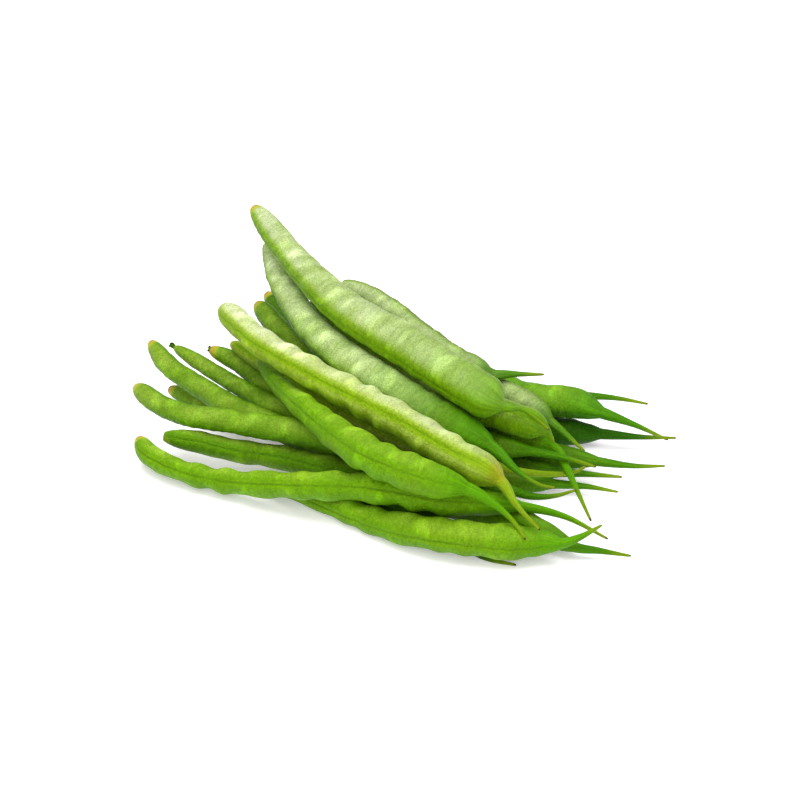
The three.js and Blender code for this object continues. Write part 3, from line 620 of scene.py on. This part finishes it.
def grow_pod(pod, seed):
    """One pod: a flat sheet rolled up along its route, joined at the seam and closed."""
    points, facts, along = skin_points(pod, seed)
    rows, columns = points.shape[:2]
    select_none()
    bpy.ops.mesh.primitive_grid_add(x_subdivisions=columns - 1, y_subdivisions=rows - 1, size=1)
    skin = bpy.context.object
    skin.name = "green_" + pod["name"]
    mesh = skin.data
    mesh.name = skin.name
    mesh.vertices.foreach_set("co", points.reshape(-1))
    for name, values in facts.items():
        layer = mesh.attributes.new(name, "FLOAT", "POINT")
        layer.data.foreach_set("value", values.astype(np.float32).reshape(-1))
    mesh.update()
    bpy.ops.object.mode_set(mode="EDIT")
    bpy.ops.mesh.select_all(action="SELECT")
    bpy.ops.mesh.remove_doubles(threshold=SAME_PLACE)
    bpy.ops.mesh.select_all(action="DESELECT")
    bpy.ops.mesh.select_mode(type="EDGE")
    bpy.ops.mesh.select_non_manifold(extend=False, use_wire=False, use_multi_face=False,
                                     use_non_contiguous=False, use_verts=False)
    bpy.ops.mesh.fill_holes(sides=0)
    bpy.ops.mesh.select_all(action="SELECT")
    bpy.ops.mesh.normals_make_consistent(inside=False)
    bpy.ops.mesh.select_all(action="DESELECT")
    bpy.ops.object.mode_set(mode="OBJECT")
    shape_scar(skin, pod, points, along)
    bpy.ops.object.shade_smooth()
    skin.location = (0, 0, 0)
    return skin


def shape_scar(skin, pod, points, along):
    """The blunt stem end: a thin rim round a small hollow, or a torn bit of stalk."""
    middle = Vector(points[0].mean(axis=0))
    mesh = skin.data
    caps = [f for f in mesh.polygons if len(f.vertices) > CAP_CORNERS]
    cap = min(caps, key=lambda f: (f.center - middle).length)
    radius = min(pod["radii"][0][0], pod["radii"][1][0]) * MM
    steps = [(radius * share, radius * lift) for share, lift in SCAR_STEPS]
    stalk = STALKS.get(pod["name"], 0) * MM
    if stalk:
        steps = [(radius * share, stalk * lift) for share, lift in ((1 - STALK_SHARE, 0), *STALK_STEPS)]
    for f in mesh.polygons:
        f.select = f.index == cap.index
    bpy.ops.object.mode_set(mode="EDIT")
    bpy.ops.mesh.select_mode(type="FACE")
    for inward, lift in steps:
        bpy.ops.mesh.inset(thickness=inward, depth=lift)
    bpy.ops.object.mode_set(mode="OBJECT")
    if stalk:
        tear_stalk(mesh, middle, -Vector(along[0]), stalk)


def tear_stalk(mesh, middle, outward, length):
    """Makes the bit of stalk ragged and gives it the dark green of a beak."""
    rng = np.random.default_rng(int(length / MM * STALK_SEEDS))
    near, green = mesh.attributes["scar_near"].data, mesh.attributes["body_share"].data
    for vertex in mesh.vertices:
        out = (vertex.co - middle).dot(outward)
        if out < length * STALK_FOOT:
            continue
        share = min(out / length, 1.0)
        vertex.co += Vector(rng.normal(0, STALK_RAGGED * MM * share, 3))
        near[vertex.index].value = 0
        green[vertex.index].value = 1


# materials
TOE_END, TOE_SLOPE = 0.04045, 12.92   # the curve between a named colour and its light
CURVE_LIFT, CURVE_POWER = 0.055, 2.4
BRIGHTEST = 255


def linear(red, green, blue):
    """A colour as the eye names it, turned into the light values that the shader takes."""
    parts = []
    for value in (red, green, blue):
        share = value / BRIGHTEST
        curved = ((share + CURVE_LIFT) / (1 + CURVE_LIFT)) ** CURVE_POWER
        parts.append(share / TOE_SLOPE if share <= TOE_END else curved)
    return (*parts, 1.0)


# Each look has the colours of its bloom and painted sheen, flank, deep green, crease, seam line and beak.
# Bloom and veil are the most and the least of the pale bloom with its painted sheen, spread says how far
# that painted sheen keeps to the upper side and how much painted shade darkens the lower side, deepen how
# much it fades toward the beak, and bands how much painted highlight follows the seeds. The sunlit, shaded
# and deep looks are lit and shaded copies of one skin, with painted light and painted shade in their
# colours.
LOOKS = {
    # painted light: the sunlit look is a paler, whiter copy of the skin for the pods on top of the bunch
    "sunlit": dict(light=linear(206, 216, 174), middle=linear(130, 166, 24), dark=linear(110, 160, 0),
                   edge=linear(120, 166, 0), seam=linear(62, 104, 0), beak=linear(96, 146, 4),
                   bloom_sheen=0.85, veil=0.3, deepen=0.5, painted_light_spread=1.0, sheen=0.02, painted_seed_highlights=0.08),
    "dusty": dict(light=linear(188, 204, 146), middle=linear(140, 170, 80), dark=linear(98, 130, 20),
                  edge=linear(110, 140, 30), seam=linear(80, 110, 10), beak=linear(74, 132, 4),
                  bloom_sheen=1.0, veil=0.5, deepen=0.3, painted_light_spread=0.8, sheen=0.02, painted_seed_highlights=0.08),
    "sage": dict(light=linear(212, 224, 172), middle=linear(134, 172, 56), dark=linear(76, 128, 0),
                 edge=linear(90, 140, 0), seam=linear(62, 112, 0), beak=linear(66, 128, 0),
                 bloom_sheen=0.9, veil=0.3, deepen=1.0, painted_light_spread=1.0, sheen=0.02, painted_seed_highlights=0.09),
    "pale": dict(light=linear(214, 222, 176), middle=linear(174, 198, 74), dark=linear(134, 170, 10),
                 edge=linear(136, 176, 0), seam=linear(92, 142, 0), beak=linear(126, 158, 16),
                 bloom_sheen=1.0, veil=0.4, deepen=0.15, painted_light_spread=1.0, sheen=0.02, painted_seed_highlights=0.10),
    "bright": dict(light=linear(152, 188, 54), middle=linear(108, 160, 2), dark=linear(88, 146, 0),
                   edge=linear(124, 174, 0), seam=linear(54, 106, 0), beak=linear(82, 146, 0),
                   bloom_sheen=0.8, veil=0.1, deepen=0.35, painted_light_spread=0.8, sheen=0.0, painted_seed_highlights=0.10),
    "middle": dict(light=linear(146, 176, 60), middle=linear(98, 146, 8), dark=linear(78, 132, 0),
                   edge=linear(104, 156, 0), seam=linear(52, 102, 0), beak=linear(62, 122, 0),
                   bloom_sheen=0.8, veil=0.15, deepen=0.4, painted_light_spread=0.8, sheen=0.0, painted_seed_highlights=0.08),
    # painted shade: the shaded and deep looks are darker copies of the skin for pods that lie in shade in
    # the bunch
    "shaded": dict(light=linear(134, 178, 50), middle=linear(88, 152, 4), dark=linear(10, 92, 0),
                   edge=linear(70, 136, 0), seam=linear(30, 96, 0), beak=linear(56, 120, 0),
                   bloom_sheen=0.7, veil=0.1, deepen=0.0, painted_light_spread=1.0, sheen=0.0, painted_seed_highlights=0.08),
    "deep": dict(light=linear(92, 134, 20), middle=linear(46, 104, 0), dark=linear(20, 76, 0),
                 edge=linear(48, 108, 0), seam=linear(26, 78, 0), beak=linear(34, 92, 0),
                 bloom_sheen=0.4, veil=0.0, deepen=0.5, painted_light_spread=0.5, sheen=0.0, painted_seed_highlights=0.08),
}
BEAK_OLIVE = linear(128, 150, 16)
BEAK_BROWN = linear(86, 58, 22)
YELLOWED = linear(158, 170, 40)
BLUSH = linear(204, 140, 40)
SCAR_YELLOW = linear(164, 170, 44)
SCAR_ORANGE = linear(186, 144, 56)
SCAR_RIM = linear(140, 96, 44)


# patterns of the skin: how fine, how many finer ones in each, and how rough
MOTTLES = (130.0, 3.0, 0.55)
PATCHES = (45.0, 2.0, 0.5)
SPECKLES = (2300.0, 1.0, 0.6)
STREAKS = (1.0, 3.0, 0.6)
CLOUDS = (1.0, 2.0, 0.5)
RIPPLES = (1.0, 2.0, 0.55)
# how often the last three repeat round a pod and along it
STREAK_REPEATS = (46.0, 7.0, 1.0)
CLOUD_REPEATS = (2.2, 12.0, 1.0)
RIPPLE_REPEATS = (16.0, 120.0, 1.0)

# ranges to remap: two values, and what they become where that is not 0 and 1
USUAL = (0.3, 0.7)        # where most of a pattern's values lie
SEED_RANGE = (-1.0, 1.0)
SEEDS_ALONG = (0.3, 0.75, 1.0, 0.3)
CLOUD_BANDS = (0.25, 0.75, 0.32, 0.68)
MOTTLE_BANDS = (-0.07, 0.07)
SPECKLE_BANDS = (-0.08, 0.08)
BAND_RANGE = (0.2, 0.8)
FLANK = (0.8, 4.0)        # millimetres from the seam
# the upward range over which the painted sheen grows on the upper side
PAINTED_SHEEN_UPWARD = (0.15, 0.85)
BLOOM_SHEEN_END = (0.5, 0.88)
BLOOM_SHEEN_ALONG = (0.05, 0.5, 1.15, 0.75)
SEAM_GREEN = (0.3, 2.6)
# the upward range over which painted shade darkens the lower side
PAINTED_SHADE_BELOW = (0.4, -0.2)
DARK_END = (0.55, 0.95)
YELLOW_PATCHES = (0.5, 0.75, 0.0, 0.2)
NEAR_SEAM = (3.2, 0.6)
DARK_STREAKS = (0.46, 0.66, 0.0, 0.6)
CREASE_TINT = 0.8
BROKEN_LINE = (0.3, 0.65, 0.15, 0.9)
SPECKLE_SHADE = (0.84, 1.12)
RIPPLE_SHADE = (0.86, 1.08)
# painted shade: darker in the hollows of the fine form and between the seeds, lighter on the rises and the
# swellings
HOLLOW_SHADE = (0.2, 0.8, 1.16, 0.8)
SEED_SHADE = (0.92, 1.07)
BEAK_ROOT = (0.84, 1.0, 0.0, 0.75)
BEAK_START = (0.0, 0.25, 0.0, 0.7)
RIDGE_SHADE = (0.35, 0.65, 0.76, 1.14)
RIDGES_ALONG = (0.86, 1.0)
OLIVE_ALONG = (0.45, 0.95, 0.0, 0.8)
BROWN_TIP = (0.965, 0.99)
BLUSH_TINT = 0.28
SCAR_EDGE = (-0.12, 0.12)
SCAR_RINGS = (((0.1, 0.4, 0.0, 0.8), SCAR_YELLOW), ((0.45, 0.8, 0.0, 0.9), SCAR_ORANGE),
              ((0.85, 0.98, 0.0, 0.8), SCAR_RIM))
ROUGHNESS = (0.44, 0.56)
STREAK_RELIEF = 0.3
SPECKLE_RELIEF = 0.5
RELIEF_DEPTH = 0.0004
SHINE = {
    "Specular IOR Level": 0.2,
    "Specular Tint": (0.8, 1.0, 0.3, 1.0),
    "Sheen Roughness": 0.5,
    "Sheen Tint": (0.95, 1.0, 0.8, 1.0),
    "Subsurface Weight": 0.12,
    "Subsurface Radius": (0.6, 1.0, 0.1),
    "Subsurface Scale": 0.0015,
}
NODE_WIDE, NODE_TALL, NODES_A_ROW = 220, 180, 8
MIX_SHARE, MIX_FIRST, MIX_SECOND, MIX_RESULT = 0, 6, 7, 2   # a mix node's sockets for colours


class Wiring:
    """Adds nodes to a material and links them, in the order they are used."""

    def __init__(self, material):
        self.tree = material.node_tree
        self.count = 0

    def add(self, kind, settings=None, **inputs):
        node = self.tree.nodes.new(kind)
        self.count += 1
        node.location = (-NODE_WIDE * (self.count % NODES_A_ROW), -NODE_TALL * (self.count // NODES_A_ROW))
        for key, value in (settings or {}).items():
            setattr(node, key, value)
        for key, value in inputs.items():
            self.put(node.inputs[key.replace("_", " ")], value)
        return node

    def put(self, socket, value):
        if isinstance(value, bpy.types.NodeSocket):
            self.tree.links.new(value, socket)
        else:
            socket.default_value = value

    def fact(self, name):
        return self.add("ShaderNodeAttribute", dict(attribute_name=name)).outputs["Fac"]

    def remap(self, value, low, high, to_low=0.0, to_high=1.0):
        node = self.add("ShaderNodeMapRange", dict(interpolation_type="SMOOTHSTEP"))
        for socket, given in zip(node.inputs, (value, low, high, to_low, to_high)):
            self.put(socket, given)
        return node.outputs[0]

    def blend(self, share, first, second, way="MIX"):
        node = self.add("ShaderNodeMix", dict(data_type="RGBA", blend_type=way))
        self.put(node.inputs[MIX_SHARE], share)
        self.put(node.inputs[MIX_FIRST], first)
        self.put(node.inputs[MIX_SECOND], second)
        return node.outputs[MIX_RESULT]

    def shade(self, colour, shade, share=1.0):
        return self.blend(share, colour, shade, "MULTIPLY")

    def sum(self, how, first, second):
        node = self.add("ShaderNodeMath", dict(operation=how))
        self.put(node.inputs[0], first)
        self.put(node.inputs[1], second)
        return node.outputs[0]

    def times(self, first, second):
        return self.sum("MULTIPLY", first, second)

    def plus(self, first, second):
        return self.sum("ADD", first, second)

    def noise(self, place, scale, detail, roughness):
        node = self.add("ShaderNodeTexNoise", dict(noise_dimensions="3D"), Vector=place, Scale=scale,
                        Detail=detail, Roughness=roughness)
        return node.outputs["Fac"]

    def stretched(self, sheet, repeats):
        return self.add("ShaderNodeMapping", Scale=repeats, Vector=sheet).outputs["Vector"]


def skin_patterns(wires):
    """The patterns and the facts of the form that the skin's colours are worked out from."""
    place = wires.add("ShaderNodeTexCoord").outputs["Object"]
    sheet = wires.add("ShaderNodeUVMap").outputs["UV"]
    on = {name: wires.fact(name) for name in ("from_seam", "crease", "seam_line", "upward", "body_share",
                                              "beak_share", "hollow", "scar_near", "blush")}
    on["mottle"] = wires.noise(place, *MOTTLES)
    on["patch"] = wires.noise(place, *PATCHES)
    on["speckle"] = wires.noise(place, *SPECKLES)
    on["streak"] = wires.noise(wires.stretched(sheet, STREAK_REPEATS), *STREAKS)
    on["cloud"] = wires.noise(wires.stretched(sheet, CLOUD_REPEATS), *CLOUDS)
    on["ripple"] = wires.noise(wires.stretched(sheet, RIPPLE_REPEATS), *RIPPLES)
    on["seeds"] = wires.times(wires.fact("seed_band"), wires.remap(on["body_share"], *SEEDS_ALONG))
    return on


def bloom_and_painted_sheen(wires, on, look):
    """How much bloom and painted sheen lie on the skin: in uneven bands with painted highlights over the
    seeds, on the flanks, and most on the upper side, where the sheen is painted light.
    """
    # painted highlight: paler bands over the seed swellings
    band = wires.remap(on["seeds"], *SEED_RANGE, -look["painted_seed_highlights"], look["painted_seed_highlights"])
    band = wires.plus(band, wires.remap(on["cloud"], *CLOUD_BANDS))
    band = wires.plus(band, wires.remap(on["mottle"], *USUAL, *MOTTLE_BANDS))
    band = wires.plus(band, wires.remap(on["speckle"], *USUAL, *SPECKLE_BANDS))
    bloom_sheen = wires.remap(band, *BAND_RANGE, look["veil"], look["bloom_sheen"])
    bloom_sheen = wires.times(bloom_sheen, wires.remap(on["from_seam"], *FLANK))
    # painted sheen: the pale bloom colour is strongest where the skin faces up
    bloom_sheen = wires.times(bloom_sheen, wires.remap(on["upward"], *PAINTED_SHEEN_UPWARD, 1 - look["painted_light_spread"], 1.0))
    bloom_sheen = wires.times(bloom_sheen, wires.remap(on["body_share"], *BLOOM_SHEEN_END, 1.0, 1 - look["deepen"]))
    return wires.times(bloom_sheen, wires.remap(on["body_share"], *BLOOM_SHEEN_ALONG))


def body_colour(wires, on, look):
    """Green at the seams and with painted shade on the lower side, paler on the flanks with bloom and
    painted sheen, with a fine line along each seam and painted shade in the hollows and between the seeds.
    """
    colour = wires.blend(wires.remap(on["from_seam"], *SEAM_GREEN), look["dark"], look["middle"])
    # painted shade: the lower side of each pod is darker green
    colour = wires.blend(wires.remap(on["upward"], *PAINTED_SHADE_BELOW, 0.0, look["painted_light_spread"]), colour, look["dark"])
    colour = wires.blend(wires.remap(on["body_share"], *DARK_END, 0.0, look["deepen"]), colour, look["dark"])
    colour = wires.blend(wires.remap(on["patch"], *YELLOW_PATCHES), colour, YELLOWED)
    colour = wires.blend(bloom_and_painted_sheen(wires, on, look), colour, look["light"])
    near = wires.remap(on["from_seam"], *NEAR_SEAM)
    colour = wires.blend(wires.times(wires.remap(on["streak"], *DARK_STREAKS), near), colour, look["dark"])
    colour = wires.blend(wires.times(on["crease"], CREASE_TINT), colour, look["edge"])
    thin = wires.times(on["seam_line"], wires.remap(on["streak"], *BROKEN_LINE))
    colour = wires.blend(thin, colour, look["seam"])
    colour = wires.shade(colour, wires.remap(on["speckle"], *USUAL, *SPECKLE_SHADE))
    colour = wires.shade(colour, wires.remap(on["ripple"], *USUAL, *RIPPLE_SHADE))
    # painted shade in the hollows and between the seeds, painted light on the rises and swellings
    colour = wires.shade(colour, wires.remap(on["hollow"], *HOLLOW_SHADE))
    return wires.shade(colour, wires.remap(on["seeds"], *SEED_RANGE, *SEED_SHADE))


def beak_colour(wires, on, look, colour):
    """The beak: ridged green that turns olive along it, and a brown tip."""
    colour = wires.blend(wires.remap(on["body_share"], *BEAK_ROOT), colour, look["beak"])
    colour = wires.blend(wires.remap(on["beak_share"], *BEAK_START), colour, look["beak"])
    ridge = wires.remap(on["streak"], *RIDGE_SHADE)
    colour = wires.shade(colour, ridge, wires.remap(on["body_share"], *RIDGES_ALONG))
    colour = wires.blend(wires.remap(on["beak_share"], *OLIVE_ALONG), colour, BEAK_OLIVE)
    return wires.blend(wires.remap(on["beak_share"], *BROWN_TIP), colour, BEAK_BROWN)


def scar_colour(wires, on, colour):
    """The stem end: yellow, then orange, then a brown rim, with uneven edges."""
    scar = wires.plus(on["scar_near"], wires.remap(on["mottle"], *USUAL, *SCAR_EDGE))
    for ring, tint in SCAR_RINGS:
        colour = wires.blend(wires.remap(scar, *ring), colour, tint)
    return colour


def skin_relief(wires, on):
    """Fine grain in the skin: streaks along it, ripples across it and specks."""
    relief = wires.plus(wires.times(on["streak"], STREAK_RELIEF), wires.times(on["speckle"], SPECKLE_RELIEF))
    relief = wires.plus(relief, on["ripple"])
    bump = wires.add("ShaderNodeBump", Strength=1.0, Distance=RELIEF_DEPTH, Height=relief)
    return bump.outputs["Normal"]


def skin_material(name, look):
    """Fresh pod skin: green at the seams, paler bands of bloom and painted sheen on the flanks, painted
    shade below, dark beak.
    """
    material = bpy.data.materials.new(name)
    material.use_nodes = True
    wires = Wiring(material)
    shader = material.node_tree.nodes["Principled BSDF"]
    on = skin_patterns(wires)
    colour = beak_colour(wires, on, look, body_colour(wires, on, look))
    colour = wires.blend(wires.times(on["blush"], BLUSH_TINT), colour, BLUSH)
    wires.put(shader.inputs["Base Color"], scar_colour(wires, on, colour))
    wires.put(shader.inputs["Roughness"], wires.remap(on["mottle"], *USUAL, *ROUGHNESS))
    wires.put(shader.inputs["Normal"], skin_relief(wires, on))
    shader.inputs["Sheen Weight"].default_value = look["sheen"]
    for socket, value in SHINE.items():
        shader.inputs[socket].default_value = value
    return material


skins = {name: skin_material("pod_skin_" + name, look) for name, look in LOOKS.items()}

for number, pod in enumerate(PODS):
    piece = grow_pod(pod, number)
    piece.data.materials.clear()
    piece.data.materials.append(skins[pod["look"]])
    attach(piece, "root")
    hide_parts("pod_" + pod["name"])

# table, light and camera, in metres
TABLE_SIZE = 6.0
TABLE_DROP = 0.0001
TABLE_WHITE = (0.94, 0.9, 0.94, 1.0)
TABLE_ROUGHNESS = 0.8
TABLE_GLOW = (1.0, 0.92, 1.0, 1.0)
TABLE_GLOW_STRENGTH = 0.3
ROOM_WHITE = (0.96, 0.98, 1.0, 1.0)
ROOM_STRENGTH = 0.34
LAMP_WHITE = (1.0, 1.0, 0.98)
LAMP_AIM = (0, 0, 0.02)
LAMPS = (   # name, place, size and power
    ("top_softbox", (-0.04, 0.0, 0.90), 0.9, 11.0),
    ("front_softbox", (-0.25, -0.80, 0.65), 0.8, 5.5),
)
SENSOR = 36.0             # millimetres
CLIP_NEAR = 0.01
CLIP_FAR = 20.0


def table_material():
    """White card that glows a little, so that the table fades into the white of the room."""
    material = bpy.data.materials.new("white_card")
    material.use_nodes = True
    shader = material.node_tree.nodes["Principled BSDF"]
    shader.inputs["Base Color"].default_value = TABLE_WHITE
    shader.inputs["Roughness"].default_value = TABLE_ROUGHNESS
    shader.inputs["Emission Color"].default_value = TABLE_GLOW
    shader.inputs["Emission Strength"].default_value = TABLE_GLOW_STRENGTH
    return material


def add_lamp(name, place, size, power):
    select_none()
    bpy.ops.object.light_add(type="AREA", location=place)
    lamp = bpy.context.object
    lamp.name = name
    lamp.data.size = size
    lamp.data.energy = power
    lamp.data.color = LAMP_WHITE
    lamp.rotation_mode = "QUATERNION"
    lamp.rotation_quaternion = (Vector(LAMP_AIM) - Vector(place)).to_track_quat("-Z", "Y")


select_none()
bpy.ops.mesh.primitive_plane_add(size=TABLE_SIZE, location=(0, 0, -TABLE_DROP))
table = bpy.context.object
table.name = "white_table"
table.data.materials.append(table_material())

room = bpy.data.worlds.new("white_room")
bpy.context.scene.world = room
room.use_nodes = True
room.node_tree.nodes["Background"].inputs["Color"].default_value = ROOM_WHITE
room.node_tree.nodes["Background"].inputs["Strength"].default_value = ROOM_STRENGTH

for lamp in LAMPS:
    add_lamp(*lamp)

bpy.context.scene.view_settings.view_transform = "Standard"

camera_data = bpy.data.cameras.new("view")
camera = bpy.data.objects.new("view", camera_data)
bpy.context.scene.collection.objects.link(camera)
camera_data.sensor_width = SENSOR
camera_data.lens = SENSOR * EYE_STEPS / VIEW_STEPS
camera_data.clip_start = CLIP_NEAR
camera_data.clip_end = CLIP_FAR
camera.location = Vector((EYE - MIDDLE) * MM)
camera.rotation_mode = "QUATERNION"
camera.rotation_quaternion = Vector(-TO_EYE).to_track_quat("-Z", "Y")
bpy.context.scene.camera = camera
